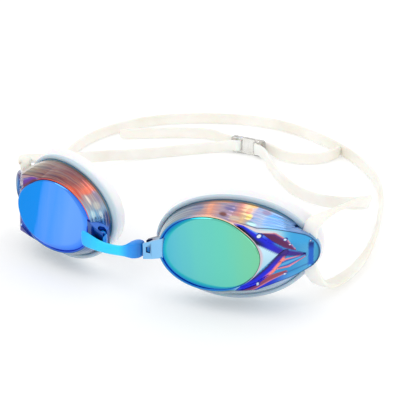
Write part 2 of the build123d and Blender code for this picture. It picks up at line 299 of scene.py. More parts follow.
def strap_material():
    m = Nodes("strap silicone")
    m.set(IOR=1.41, Subsurface_Weight=0.2, Subsurface_Scale=0.004, Coat_Weight=0.15, Coat_Roughness=0.35)
    cloud = m.noise(m.place(), 55.0, 3.0)
    m.colour(m.ramp(cloud, [(0.3, (240, 237, 226)), (0.7, (250, 249, 244))]))
    m.roughness(m.place(), 300.0, 0.36, 0.5)
    m.bump(m.noise(m.place(), 2400.0, 2.0), 0.15, 0.00005)
    return m.material


def clip_material():
    m = Nodes("clip clear")
    m.set(IOR=1.49, Transmission_Weight=0.75, Coat_Weight=0.6, Coat_Roughness=0.05)
    haze = m.noise(m.place(), 300.0)
    m.colour(m.ramp(haze, [(0.3, (236, 234, 226)), (0.7, (250, 250, 248))]))
    m.roughness(m.place(), 250.0, 0.05, 0.14)
    return m.material


# ---------------------------------------------------------------- mesh helpers


def make_object(name, bm, material):
    bmesh.ops.recalc_face_normals(bm, faces=bm.faces)
    mesh = bpy.data.meshes.new(name)
    bm.to_mesh(mesh)
    bm.free()
    for face in mesh.polygons:
        face.use_smooth = True
    piece = bpy.data.objects.new(name, mesh)
    mesh.materials.append(material)
    bpy.context.collection.objects.link(piece)
    return piece


def grid_mesh(rows, closed_rows, closed_columns, values, paint=None):
    """A quad mesh through rows of points. values names what each point carries, in the same layout, and
    paint is each point's colour."""
    bm = bmesh.new()
    for name in values:
        bm.verts.layers.float.new(name)
    colours = bm.verts.layers.float_color.new("paint") if paint else None
    layers = {name: bm.verts.layers.float[name] for name in values}
    verts = []
    for i, row in enumerate(rows):
        verts.append([])
        for j, point in enumerate(row):
            vert = bm.verts.new(point)
            for name, table in values.items():
                vert[layers[name]] = table[i][j]
            if paint:
                vert[colours] = (*paint[i][j], 1)
            verts[-1].append(vert)
    count = len(rows)
    width = len(rows[0])
    for i in range(count if closed_rows else count - 1):
        for j in range(width if closed_columns else width - 1):
            a = verts[i][j]
            b = verts[i][(j + 1) % width]
            c = verts[(i + 1) % count][(j + 1) % width]
            d = verts[(i + 1) % count][j]
            bm.faces.new((a, b, c, d))
    return bm, verts


def close_end(bm, ring):
    """A flat end with a crisp edge."""
    for edge in bm.faces.new(ring).edges:
        edge.smooth = False


def rounded(points, times, closed=False):
    """Corner cutting: each pass replaces every corner by two points near it."""
    for _ in range(times):
        cut = []
        if closed:
            pairs = list(zip(points, points[1:] + points[:1]))
        else:
            pairs = list(zip(points, points[1:]))
            cut.append(points[0])
        for a, b in pairs:
            cut.append(a.lerp(b, 0.25))
            cut.append(a.lerp(b, 0.75))
        if not closed:
            cut.append(points[-1])
        points = cut
    return points


SQUARE = ((-1, -1), (1, -1), (1, 1), (-1, 1))


def cut_corners(corners, inset):
    """Each corner replaced by two points, a little way along its two sides."""
    outline = []
    for i, corner in enumerate(corners):
        for other in (corners[i - 1], corners[(i + 1) % len(corners)]):
            outline.append(corner + (other - corner).normalized() * inset)
    return outline


# ---------------------------------------------------------------- the strap

STRAP_WIDE = 5.5
STRAP_THICK = 1.9
STRAP_CUT = 0.6
STRAP_Z = STRAP_WIDE / 2 + 0.05
STRAP_MIDDLE = Vector((-9.8, 154.7, STRAP_Z))
SPLINE_STEPS = 10
TAIL = (0.97, 0.88, 0.7)
BLEND_ACROSS = 0.065
BLEND_START_Y = 0.035
BLEND_END_Y = 0.10
BLEND_Z = 0.02
CLIP = Vector((-13.0, 120.6, 4.05))
CLIP_LONG = 17.2
CLIP_DEEP = 2.2
CLIP_HIGH = 8.1
CLIP_SILL = 1.2
POST = 2.4
POST_GAP = 3.1
STRAND_OFF = CLIP_DEEP / 2 + STRAP_THICK / 2 + 0.1
AT_CLIP_Z = CLIP_SILL + 0.1 + STRAP_WIDE / 2
POST_X = CLIP_LONG / 2 - POST - STRAP_THICK / 2 - 1.0
UP = (0, 0, 1)
ACROSS_LEFT = (0.986, 0.162, 0.039)
ACROSS_RIGHT = (-0.986, 0.162, 0.039)

LENS_CENTRE = (33.2, -13.4, 23.01)
WRAP = 9.45
LEAN_BACK = -6.2
TEMPLE_RISE = -2.26
PASSAGE_U = 32.25
PASSAGE_DEPTH = 18.45
PASSAGE_HALF = 7.0


def cup_matrix(mirrored):
    """Places a cup's own axes, across, back and up from the lens's centre, in the goggles' frame."""
    place = (Matrix.Translation(LENS_CENTRE) @ Matrix.Rotation(radians(WRAP), 4, "Z")
             @ Matrix.Rotation(radians(LEAN_BACK), 4, "X") @ Matrix.Rotation(radians(TEMPLE_RISE), 4, "Y"))
    if mirrored:
        return Matrix.Diagonal((-1, 1, 1, 1)) @ place
    return place


PASSAGE_TOP = cup_matrix(False) @ Vector((PASSAGE_U, PASSAGE_DEPTH, PASSAGE_HALF))
PASSAGE_LOW = cup_matrix(False) @ Vector((PASSAGE_U, PASSAGE_DEPTH, -PASSAGE_HALF))
FLIP = Vector((-1, 1, 1))

UPPER_LEFT = [
    (PASSAGE_TOP, ACROSS_LEFT),
    ((63.0, 13.2, 31.2), ACROSS_LEFT),
    ((64.6, 18.4, 31.8), (1, 0.1, 0.35)),
    ((66.6, 26.4, 31.0), (1, 0, 0.6)),
    ((68.6, 36.0, 29.2), (0.8, 0, 0.9)),
    ((70.0, 45.0, 26.4), (0.5, 0, 1)),
    ((69.4, 54.0, 22.2), (0.3, 0, 1)),
    ((65.4, 62.6, 17.0), (0.1, 0, 1)),
    ((58.0, 69.8, 11.8), UP),
    ((47.6, 75.3, 7.4), UP),
    ((35.4, 80.5, 4.4), UP),
    ((23.4, 88.5, STRAP_Z), UP),
    ((12.4, 98.5, STRAP_Z), UP),
    ((2.6, 109.3, STRAP_Z), UP),
    ((-1.6, 116.3, STRAP_Z), UP),
    ((CLIP.x + CLIP_LONG / 2 - 1.6, CLIP.y - STRAND_OFF, AT_CLIP_Z), UP),
    ((CLIP.x + POST_X, CLIP.y - STRAND_OFF, AT_CLIP_Z), UP),
    ((CLIP.x + POST_X, CLIP.y + STRAND_OFF, AT_CLIP_Z), UP),
    ((CLIP.x + CLIP_LONG / 2 + 1.8, CLIP.y + STRAND_OFF, AT_CLIP_Z), UP),
    ((3.0, 121.0, STRAP_Z), UP),
    ((8.2, 119.8, STRAP_Z), UP),
    ((12.8, 120.3, STRAP_Z), UP),
    ((18.6, 122.7, STRAP_Z), UP),
    ((23.6, 127.1, STRAP_Z), UP),
    ((26.2, 132.9, STRAP_Z), UP),
    ((27.0, 138.5, STRAP_Z), UP),
]

LOWER = [
    (PASSAGE_LOW, ACROSS_LEFT),
    ((64.1, 9.4, 11.2), ACROSS_LEFT),
    ((65.8, 13.0, 5.4), (1, 0, 0)),
    ((67.9, 19.9, 2.4), (1, -0.3, 0)),
    ((70.2, 28.0, 2.2), (1, -0.4, 0.2)),
    ((71.8, 38.0, 2.5), (1, 0, 0.5)),
    ((71.6, 50.0, 2.8), (1, 0, 1.2)),
    ((69.8, 64.2, 3.0), (0.4, 0, 1)),
    ((66.6, 79.5, STRAP_Z), UP),
    ((62.2, 95.1, STRAP_Z), UP),
    ((56.0, 110.1, STRAP_Z), UP),
    ((46.8, 123.1, STRAP_Z), UP),
    ((35.0, 134.3, STRAP_Z), UP),
    ((21.4, 143.3, STRAP_Z), UP),
    ((6.2, 150.5, STRAP_Z), UP),
    ((-9.8, 154.7, STRAP_Z), UP),
    ((-26.2, 154.3, STRAP_Z), UP),
    ((-42.4, 149.3, STRAP_Z), UP),
    ((-58.0, 141.5, STRAP_Z), UP),
    ((-72.0, 130.9, STRAP_Z), UP),
    ((-81.8, 116.9, STRAP_Z), UP),
    ((-87.2, 101.7, STRAP_Z), UP),
    ((-88.2, 86.3, STRAP_Z), UP),
    ((-85.4, 71.1, STRAP_Z), UP),
    ((-80.6, 56.7, 3.0), (-0.4, 0, 1)),
    ((-75.4, 43.3, 2.8), (-1, 0, 1.2)),
    ((-70.8, 31.5, 2.6), (-1, 0, 0.5)),
    ((-68.2, 21.6, 3.0), (-1, 0, 0)),
    ((-65.8, 13.4, 5.8), (-1, 0.1, 0)),
    ((-64.1, 9.4, 11.2), (-1, 0.16, 0)),
    (PASSAGE_LOW * FLIP, ACROSS_RIGHT),
]

UPPER_RIGHT = [
    (PASSAGE_TOP * FLIP, ACROSS_RIGHT),
    ((-63.8, 12.6, 30.2), ACROSS_RIGHT),
    ((-65.6, 18.0, 27.8), (-1, 0.1, 0.35)),
    ((-66.0, 26.8, 24.2), (-1, 0, 0.6)),
    ((-66.2, 37.4, 19.2), (-1, 0, 0.8)),
    ((-67.0, 49.0, 14.6), (-0.6, 0, 1)),
    ((-68.4, 61.0, 10.6), (-0.2, 0, 1)),
    ((-68.8, 72.4, 6.4), UP),
    ((-64.6, 83.1, 3.8), UP),
    ((-56.2, 91.3, STRAP_Z), UP),
    ((-47.4, 98.5, STRAP_Z), UP),
    ((-39.2, 105.9, STRAP_Z), UP),
    ((-31.4, 112.5, STRAP_Z), UP),
    ((-26.0, 116.5, STRAP_Z), UP),
    ((CLIP.x - CLIP_LONG / 2 + 1.6, CLIP.y - STRAND_OFF, AT_CLIP_Z), UP),
    ((CLIP.x - POST_X, CLIP.y - STRAND_OFF, AT_CLIP_Z), UP),
    ((CLIP.x - POST_X, CLIP.y + STRAND_OFF, AT_CLIP_Z), UP),
    ((CLIP.x - CLIP_LONG / 2 - 1.8, CLIP.y + STRAND_OFF, AT_CLIP_Z), UP),
    ((-29.0, 125.9, STRAP_Z), UP),
    ((-35.0, 128.5, STRAP_Z), UP),
    ((-42.2, 127.5, STRAP_Z), UP),
    ((-49.6, 124.3, STRAP_Z), UP),
    ((-57.2, 120.5, STRAP_Z), UP),
    ((-64.6, 116.1, STRAP_Z), UP),
    ((-71.2, 112.1, STRAP_Z), UP),
    ((-77.4, 108.5, STRAP_Z), UP),
]


def spline_points(places, steps):
    """The points of a NURBS spline through the route, read from Blender's own curve."""
    curve = bpy.data.curves.new("route", "CURVE")
    curve.dimensions = "3D"
    curve.resolution_u = steps
    spline = curve.splines.new("NURBS")
    spline.points.add(len(places) - 1)
    for point, place in zip(spline.points, places):
        point.co = (*(Vector(place) * MM), 1)
    spline.order_u = 3
    spline.use_endpoint_u = True
    holder = bpy.data.objects.new("route", curve)
    mesh = bpy.data.meshes.new_from_object(holder)
    points = [vert.co.copy() for vert in mesh.vertices]
    bpy.data.objects.remove(holder)
    bpy.data.curves.remove(curve)
    bpy.data.meshes.remove(mesh)
    return points


def width_at(route, share):
    """The way the strap's width points, a share of the way along the spline."""
    knot = share * (len(route) - 2)
    index = 0.0 if knot <= 0 else knot + 0.5
    index = min(max(index, 0.0), len(route) - 1.0)
    before = min(int(index), len(route) - 2)
    first = Vector(route[before][1]).normalized()
    second = Vector(route[before + 1][1]).normalized()
    return first.lerp(second, index - before)


def strap_section():
    """The flat band's section with rounded edges, in mm."""
    corners = [Vector((x * STRAP_WIDE / 2, y * STRAP_THICK / 2)) for x, y in SQUARE]
    return rounded(cut_corners(corners, STRAP_CUT), 2, closed=True)


def add_strap():
    route = UPPER_RIGHT[::-1] + LOWER[::-1] + UPPER_LEFT
    points = spline_points([place for place, _ in route], SPLINE_STEPS)
    widths = [width_at(route, k / (len(points) - 1)) for k in range(len(points))]
    middle_place = STRAP_MIDDLE * MM
    middle = min(range(len(points)), key=lambda k: (points[k] - middle_place).length)
    section = strap_section()
    material = strap_material()
    halves = (("left", "left_cup", middle, len(points)), ("right", "right_cup", 0, middle + 1))
    for side, body, first, last in halves:
        line = points[first:last]
        turns = widths[first:last]
        if side == "right":
            line = line[::-1]
            turns = turns[::-1]
        rings = []
        for k, point in enumerate(line):
            along = (line[min(k + 1, len(line) - 1)] - line[max(k - 1, 0)]).normalized()
            wide = (turns[k] - along * turns[k].dot(along)).normalized()
            thick = along.cross(wide)
            left_over = len(line) - k
            tail = TAIL[-left_over] if left_over <= len(TAIL) else 1.0
            rings.append([point + (wide * s.x * tail + thick * s.y * tail) * MM for s in section])
        bm, verts = grid_mesh(rings, False, True, {})
        close_end(bm, verts[0])
        close_end(bm, verts[-1])
        half = make_object("strap_" + side + "_half", bm, material)
        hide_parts("head_strap")
        across = BLEND_ACROSS if side == "left" else -BLEND_ACROSS
        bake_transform(half, body, "bridge_and_strap", start=(across, BLEND_START_Y, BLEND_Z),
                 end=(across, BLEND_END_Y, BLEND_Z))


# ---------------------------------------------------------------- the cups' outlines

LENS_HALF_U = 18.4
LENS_HALF_W = 13.6
LENS_THICK = 1.7
LENS_STEPS = 240
CENTRE = Vector((6.0, -1.0))
STEPS_ROUND = 600


def ellipse(half_u, half_w, centre, turn, count=240):
    c, s = cos(radians(turn)), sin(radians(turn))
    outline = []
    for k in range(count):
        a = 2 * pi * k / count
        u, w = half_u * cos(a), half_w * sin(a)
        outline.append(Vector((centre[0] + u * c - w * s, centre[1] + u * s + w * c)))
    return outline


def reach(outline, angle):
    """How far an outline is from the cup's centre in one direction."""
    way = Vector((cos(angle), sin(angle)))
    side = Vector((-way.y, way.x))
    best = 0.0
    for k, a in enumerate(outline):
        b = outline[(k + 1) % len(outline)]
        da = (a - CENTRE).dot(side)
        db = (b - CENTRE).dot(side)
        if da * db <= 0 and da != db:
            best = max(best, (a + (b - a) * (da / (da - db)) - CENTRE).dot(way))
    return best


def lens_edge(angle):
    """The lens's outline, an ellipse that is a little flatter towards the temple's top."""
    off = (angle + pi - radians(45)) % (2 * pi) - pi
    flat = 1 - 0.05 * exp(-(off / radians(24)) ** 2)
    return Vector((LENS_HALF_U * cos(angle), LENS_HALF_W * sin(angle))) * flat


WING_TOP = [(0, 13.6), (6, 13.3), (14, 12.2), (20.5, 10.6), (27, 7.9), (32.5, 5.2), (35.6, 2.4), (36.7, -1.2)]
WING_LOW = [(36.0, -4.6), (33.6, -7.2), (29.6, -9.1), (24.0, -10.5), (17.6, -11.8), (9.0, -13.3), (0, -13.9)]
WING = rounded([Vector(p) for p in WING_TOP + WING_LOW] + [Vector((-6, 0))], 3, closed=True)
LENS_EDGE = [lens_edge(2 * pi * k / LENS_STEPS) for k in range(LENS_STEPS)]
RIM_EDGE = ellipse(26.7, 18.2, (5.18, -1.61), -6.3)
BASE_EDGE = ellipse(28.4, 19.95, (5.18, -1.61), -6.3)
LIP_EDGE = ellipse(29.7, 20.2, (6.43, -0.80), -6.3)
MOUTH_EDGE = ellipse(23.4, 15.2, (5.9, -1.2), -6.3)
ANGLES = [2 * pi * k / STEPS_ROUND for k in range(STEPS_ROUND)]
REACH_LENS = [reach(LENS_EDGE, a) for a in ANGLES]
REACH_WING = [max(reach(WING, a), near + 0.9) for a, near in zip(ANGLES, REACH_LENS)]
REACH_RIM = [reach(RIM_EDGE, a) for a in ANGLES]
REACH_BASE = [reach(BASE_EDGE, a) for a in ANGLES]
REACH_LIP = [reach(LIP_EDGE, a) for a in ANGLES]
REACH_MOUTH = [reach(MOUTH_EDGE, a) for a in ANGLES]


def smoothstep(low, high, x):
    t = min(max((x - low) / (high - low), 0.0), 1.0)
    return t * t * (3 - 2 * t)


def face_curve(u):
    """How far the back of the cup bends back towards the temple."""
    return 0.0041 * max(0.0, u + 21) ** 2


def rim_depth(u):
    return 9.44 + face_curve(u)


def wing_depth(u):
    """The wing's front: level with the lens, then a ramp, then the lug's plate."""
    ramp = 0.935 * max(0.0, u - 17.0)
    plate = 14.3 + 0.5 * (u - 32.3)
    blend = smoothstep(29.5, 34.0, u)
    return 0.65 + ramp * (1 - blend) + plate * blend


def cup_place(angle, distance, depth):
    at = CENTRE + Vector((cos(angle), sin(angle))) * distance
    return Vector((at.x, depth, at.y))


# ---------------------------------------------------------------- what is painted on the wing


def strip(*stations):
    """Points of a stroke, across and up from the lens's centre, each with the half width there."""
    return [(Vector((u, w)), half) for u, w, half in stations]


TRIANGLE = [Vector(p) for p in ((16.7, 5.6), (23.4, 0.0), (15.6, -7.4))]
UPPER_ARM = strip((6.0, 12.9, 0.2), (12.0, 10.9, 1.1), (16.6, 7.4, 2.5), (20.3, 3.9, 2.0),
                  (24.5, 0.6, 1.5), (31.4, -2.0, 0.6))
LOWER_ARM = strip((3.9, -13.7, 0.2), (10.6, -12.4, 1.0), (16.6, -8.8, 1.5), (21.0, -5.4, 1.8),
                  (24.0, -1.6, 1.6), (25.4, 0.2, 1.0))
CHANNEL = strip((22.0, -4.9, 0.8), (26.2, -3.9, 1.8), (31.2, -2.5, 0.6))
PANEL = strip((17.6, 8.9, 0.6), (21.6, 6.6, 2.1), (25.0, 3.6, 1.9), (28.4, 0.4, 0.4))
RED_BAND = strip((8.6, -13.2, 0.3), (15.0, -11.4, 1.1), (20.4, -8.6, 1.3), (25.7, -7.2, 0.6))
BUBBLES = strip((17.8, 8.2, 1.05), (25.6, 5.2, 0.75), (27.0, 3.0, 0.4), (17.6, -9.8, 0.7),
                (25.7, -7.9, 0.55), (33.3, 3.1, 0.5))
SLOT_U = (32.6, 34.2)
SLOT_W = (-6.3, 2.4)


def along_strip(strip, at):
    """Distance from a tapered stroke as a share of its half width, the side it is on, and the way along."""
    best = (9.0, 0.0, 0.0)
    for k in range(len(strip) - 1):
        (a, half_a), (b, half_b) = strip[k], strip[k + 1]
        t = min(max((at - a).dot(b - a) / (b - a).length_squared, 0.0), 1.0)
        off = at - a.lerp(b, t)
        share = off.length / (half_a + (half_b - half_a) * t)
        if share < best[0]:
            side = (b - a).x * off.y - (b - a).y * off.x
            best = (share, 1.0 if side > 0 else -1.0, (k + t) / (len(strip) - 1))
    return best


def in_triangle(at):
    """How far inside the triangle, whose pale colour is a painted highlight, a point is, in mm, negative
    outside.
    """
    inside = 99.0
    for a, b in ((TRIANGLE[0], TRIANGLE[1]), (TRIANGLE[1], TRIANGLE[2])):
        edge = (b - a).normalized()
        inside = min(inside, (at - a).x * edge.y - (at - a).y * edge.x)
    return inside


def mixed(first, second, share):
    return tuple(a + (b - a) * share for a, b in zip(first, second))


def wing_look(at):
    """The wing's colour and how far its surface is sunk, at a point of its front."""
    base = mixed(srgb(44, 142, 200), srgb(84, 168, 212), smoothstep(26, 35, at.x))
    base = mixed(base, srgb(60, 146, 186), smoothstep(33.5, 35.5, at.x))
    height = at.y + 0.33 * (at.x - 20)
    pale = mixed(srgb(222, 186, 190), srgb(140, 214, 236), smoothstep(13, 22, at.x))
    pale = mixed(pale, srgb(56, 160, 218), smoothstep(22, 28, at.x))
    colour = mixed(base, pale, smoothstep(4.0, 7.5, height))
    colour = mixed(colour, srgb(226, 214, 214),
                   0.8 * smoothstep(7.2, 8.2, height) * smoothstep(10.4, 9.4, height)
                   * smoothstep(12, 16, at.x) * smoothstep(26, 21, at.x))
    low = mixed(srgb(26, 50, 196), srgb(84, 160, 216), smoothstep(21, 29, at.x))
    colour = mixed(colour, low, smoothstep(4.0, 7.0, -at.y - 0.1 * at.x))
    line = abs(-at.y - 6.2 - 0.28 * (31 - at.x))
    colour = mixed(colour, srgb(40, 92, 160), 0.6 * (1 - smoothstep(0.15, 0.4, line))
                   * smoothstep(23, 26, at.x))
    sunk = 0.0
    share, side, way = along_strip(PANEL, at)
    edge = 1 - smoothstep(0.85, 1.0, share)
    inner = mixed(srgb(60, 36, 104), srgb(112, 56, 136), way)
    inner = mixed(inner, srgb(90, 20, 50), (1 - smoothstep(0.2, 0.7, share)) * 0.7)
    inner = mixed(inner, srgb(232, 150, 160), smoothstep(0.6, 0.85, share) * (0.9 if side > 0 else 0.15))
    colour = mixed(colour, inner, edge)
    sunk += 0.35 * edge
    share, side, way = along_strip(RED_BAND, at)
    edge = 1 - smoothstep(0.8, 1.0, share)
    colour = mixed(colour, mixed(srgb(92, 30, 110), srgb(150, 70, 88), smoothstep(0.2, 0.8, way)), edge)
    colour = mixed(colour, srgb(206, 130, 140),
                   edge * smoothstep(0.5, 0.75, share) * (0.7 if side < 0 else 0.1))
    sunk += 0.25 * edge
    share, side, way = along_strip(CHANNEL, at)
    edge = 1 - smoothstep(0.9, 1.1, share)
    leaf = mixed(srgb(84, 168, 220), srgb(34, 96, 176), smoothstep(0.1, 0.5, share))
    leaf = mixed(leaf, srgb(232, 132, 146), smoothstep(0.55, 0.8, share))
    colour = mixed(colour, leaf, edge)
    sunk += 0.3 * edge
    for strip in (UPPER_ARM, LOWER_ARM):
        share, side, way = along_strip(strip, at)
        edge = 1 - smoothstep(0.88, 1.02, share)
        deep = mixed(srgb(20, 30, 214), srgb(62, 36, 128), smoothstep(0.55, 0.95, way))
        if strip is UPPER_ARM:
            deep = mixed(deep, srgb(10, 14, 52),
                         smoothstep(-0.35, 0.35, -side * share) * (1 - smoothstep(0.45, 0.66, way)))
            # painted highlight: a lighter line along the upper arm's outer edge
            deep = mixed(deep, srgb(96, 150, 240),
                         smoothstep(0.45, 0.75, side * share) * smoothstep(0.15, 0.3, way)
                         * (1 - smoothstep(0.4, 0.55, way)))
            deep = mixed(deep, srgb(60, 130, 200),
                         smoothstep(0.3, 0.8, side * share) * smoothstep(0.6, 0.7, way))
        else:
            deep = mixed(deep, srgb(40, 24, 92),
                         smoothstep(0.2, 0.8, side * share) * smoothstep(0.2, 0.4, way))
            # painted highlight: a bright pink streak along the lower arm's outer edge
            deep = mixed(deep, srgb(255, 138, 122),
                         smoothstep(0.2, 0.6, -side * share) * smoothstep(0.46, 0.6, way)
                         * (1 - smoothstep(0.8, 0.92, way)))
        colour = mixed(colour, deep, edge)
        sunk += 0.7 * edge
    # the triangle is a facet left unsunk; its pale colour, lighter towards its top, is a painted highlight
    inside = in_triangle(at)
    triangle_highlight = smoothstep(-0.1, 0.15, inside)
    triangle = mixed(srgb(160, 205, 228), srgb(196, 232, 248), smoothstep(-6, 5, at.y))
    colour = mixed(colour, triangle, triangle_highlight)
    sunk *= 1 - triangle_highlight
    in_slot = (smoothstep(SLOT_U[0] - 0.3, SLOT_U[0] + 0.1, at.x)
               * (1 - smoothstep(SLOT_U[1] - 0.1, SLOT_U[1] + 0.3, at.x))
               * smoothstep(SLOT_W[0] - 0.6, SLOT_W[0] + 0.4, at.y)
               * (1 - smoothstep(SLOT_W[1] - 0.4, SLOT_W[1] + 0.6, at.y)))
    colour = mixed(colour, mixed(srgb(28, 96, 196), srgb(16, 44, 120), smoothstep(-1, 2, at.y)), in_slot)
    sunk += 0.5 * in_slot
    for centre, size in BUBBLES:
        off = (at - centre).length / size
        colour = mixed(colour, srgb(24, 50, 150), 1 - smoothstep(0.9, 1.1, off))
        # painted highlight: a near-white spot on each raised bubble, a little off its centre
        bubble_highlight = (at - centre - Vector((-0.15, -0.1)) * size).length / size
        colour = mixed(colour, srgb(225, 240, 250), 1 - smoothstep(0.45, 0.7, bubble_highlight))
        sunk -= 0.25 * (1 - smoothstep(0.3, 1.0, off))
    return colour, sunk


# ---------------------------------------------------------------- lens


def add_lens(side, mirrored, material):
    """The lens is a plate with a flat face and a slope to its edge, wider at the nose and below."""
    rows = []
    tables = {"across": [], "height": [], "bevel": []}
    shares = [0.0, 0.25, 0.5, 0.7, 0.85, 0.93, 0.97, 1.0]
    for k in range(LENS_STEPS):
        angle = 2 * pi * k / LENS_STEPS
        edge = lens_edge(angle)
        slope_width = 0.5 + 2.5 * smoothstep(-0.35, 0.9, -cos(angle - radians(25)))
        nose = smoothstep(-0.55, 0.3, -cos(angle - radians(25)))
        flat = edge * (1 - slope_width / edge.length)
        ring = [(flat * s, 0.12 * s * s, 0.0) for s in shares]
        for t in (0.12, 0.35, 0.6, 0.82, 0.95, 1.0):
            ring.append((flat.lerp(edge, t), 0.12 + (0.25 + 0.26 * slope_width) * t ** 1.6, t * nose))
        ring.append((edge * 1.002, 1.35, nose))
        ring.append((edge * 0.996, 1.6, nose))
        ring.append((edge * 0.985, LENS_THICK, nose))
        for s in (0.8, 0.5, 0.25, 0.0):
            ring.append((edge * s, LENS_THICK, 0.3))
        rows.append([Vector((p.x, v, p.y)) for p, v, _ in ring])
        tables["across"].append([0.5 + p.x / (2 * LENS_HALF_U) for p, _, _ in ring])
        tables["height"].append([0.5 + p.y / (2 * LENS_HALF_W) for p, _, _ in ring])
        tables["bevel"].append([b for _, _, b in ring])
    finish_cup_piece(side + "_mirror_lens", rows, tables, mirrored, material, side + "_lens",
                            pinched=(0, len(rows[0]) - 1))


def finish_cup_piece(name, rows, tables, mirrored, material, node, pinched=(), closed_columns=False,
                     paint=None):
    """Places a piece made in a cup's axes in the goggles' frame, parents it to its body and hides its node.
    """
    place = Matrix.Scale(MM, 4) @ cup_matrix(mirrored)
    placed = [[place @ p for p in row] for row in rows]
    bm, verts = grid_mesh(placed, True, closed_columns, tables, paint)
    for column in pinched:
        bmesh.ops.pointmerge(bm, verts=[row[column] for row in verts], merge_co=placed[0][column])
    piece = make_object(name, bm, material)
    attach(piece, "left_cup" if not mirrored else "right_cup")
    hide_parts(node)


# ---------------------------------------------------------------- shell

RAMP_STEPS = 44
WALL_SHARES = [k / 26 for k in range(27)]
WALL_THICK = 1.3


def wall_colour(side, degrees):
    """The wall's broad colour round the cup; 0 degrees is the temple, 90 the top and 180 the nose. The orange
    near 112 degrees on the left cup and near 140 degrees on the right cup is a painted highlight, a flare of
    light on the wall.
    """
    if side == "left":
        stops = [(0, (80, 165, 228)), (24, (70, 155, 228)), (38, (90, 175, 232)), (48, (120, 165, 200)),
                 (60, (132, 150, 190)), (70, (240, 205, 150)), (78, (225, 150, 140)), (88, (160, 145, 178)),
                 # the stop at 112 degrees is a painted highlight, an orange flare
                 (100, (178, 160, 180)), (112, (236, 160, 130)), (120, (190, 150, 150)), (132,
                                                                                          (122, 140, 165)),
                 (150, (106, 150, 166)), (180, (118, 172, 190)), (210, (112, 166, 186)), (240,
                                                                                          (84, 136, 158)),
                 (270, (72, 122, 142)), (300, (84, 142, 168)), (330, (82, 150, 204)), (360, (80, 165, 228))]
    else:
        stops = [(0, (100, 96, 120)), (30, (112, 100, 84)), (60, (108, 92, 70)), (80, (108, 74, 80)),
                 # the stop at 140 degrees is a painted highlight, an orange flare
                 (105, (116, 66, 72)), (130, (146, 76, 78)), (140, (226, 112, 92)), (148, (176, 156, 162)),
                 (156, (160, 172, 186)), (164, (126, 186, 220)), (174, (36, 118, 200)), (188, (28, 112, 196)),
                 (205, (46, 100, 150)), (240, (72, 116, 142)), (290, (86, 128, 152)), (360, (100, 96, 120))]
    for (a, first), (b, second) in zip(stops, stops[1:]):
        if a <= degrees <= b:
            return mixed(srgb(*first), srgb(*second), (degrees - a) / (b - a))
    return srgb(*stops[0][1])


LEFT_PATCHES = [
    # degrees, share of the wall, half widths of each, colour
    # the patch at 113 degrees is a painted highlight, an orange flare across the wall
    (113, 0.55, 3.5, 0.6, (250, 168, 134)), (100, 0.9, 12, 0.08, (246, 158, 92)), (96, 0.2, 6, 0.12,
                                                                                   (84, 18, 36)),
    (80, 0.16, 9, 0.13, (222, 206, 186)), (64, 0.34, 4.5, 0.16, (255, 222, 104)), (68, 0.6, 4, 0.2,
                                                                                   (246, 150, 118)),
    (66, 0.86, 6, 0.08, (248, 182, 88)), (57, 0.1, 7, 0.1, (160, 232, 240)), (40, 0.5, 9, 0.4,
                                                                              (44, 150, 236)),
    (90, 0.55, 9, 0.16, (112, 116, 176)), (126, 0.5, 7, 0.3, (98, 124, 168)), (50, 0.75, 6, 0.14,
                                                                               (120, 110, 150)),
    (285, 0.35, 40, 0.1, (132, 182, 206)), (250, 0.7, 30, 0.14, (70, 118, 134)), (300, 0.65, 30, 0.12,
                                                                                  (60, 112, 140)),
]
RIGHT_PATCHES = [
    (48, 0.5, 14, 0.5, (116, 108, 70)), (95, 0.2, 30, 0.14, (92, 30, 44)), (110, 0.75, 22, 0.14,
                                                                            (104, 66, 84)),
    # the patches at 143 and 151 degrees are painted highlights: an orange flare and a near-white streak of
    # light
    (138, 0.08, 14, 0.08, (232, 78, 34)), (143, 0.6, 4.5, 0.5, (255, 122, 92)), (151, 0.3, 6, 0.07,
                                                                                 (255, 240, 228)),
    (150, 0.75, 7, 0.16, (150, 150, 178)), (158, 0.5, 4, 0.2, (196, 206, 204)), (164, 0.2, 4, 0.12,
                                                                                 (188, 236, 250)),
    (166, 0.55, 4, 0.1, (206, 236, 246)), (170, 0.8, 8, 0.16, (18, 66, 130)), (178, 0.5, 8, 0.3,
                                                                               (24, 128, 222)),
]


def patched(side, degrees, s, colour):
    """Soft patches of stronger colour on the wall, longer along it than across it; a few of them are painted
    highlights.
    """
    for at, share, half, half_share, tone in (LEFT_PATCHES if side == "left" else RIGHT_PATCHES):
        off = sqrt(((degrees - at) / half) ** 2 + ((s - share) / half_share) ** 2)
        colour = mixed(colour, srgb(*tone), 0.92 * (1 - smoothstep(0.45, 1.15, off)))
    return colour


def collar_colour(side, degrees):
    """The thin line round the lens: pale at the temple, orange on top and blue elsewhere."""
    if side == "right":
        top = mixed(srgb(120, 40, 90), srgb(225, 90, 50), smoothstep(60, 130, degrees))
        return mixed(top, srgb(40, 90, 200), smoothstep(160, 172, degrees)) if degrees > 20 else srgb(60, 60,
                                                                                                      190)
    pale = srgb(205, 190, 205)
    orange = srgb(245, 205, 175)
    blue = srgb(16, 118, 200)
    if degrees > 300:
        return mixed(blue, pale, smoothstep(300, 335, degrees))
    if degrees < 60:
        return mixed(pale, orange, smoothstep(30, 60, degrees))
    return mixed(orange, blue, smoothstep(115, 150, degrees))


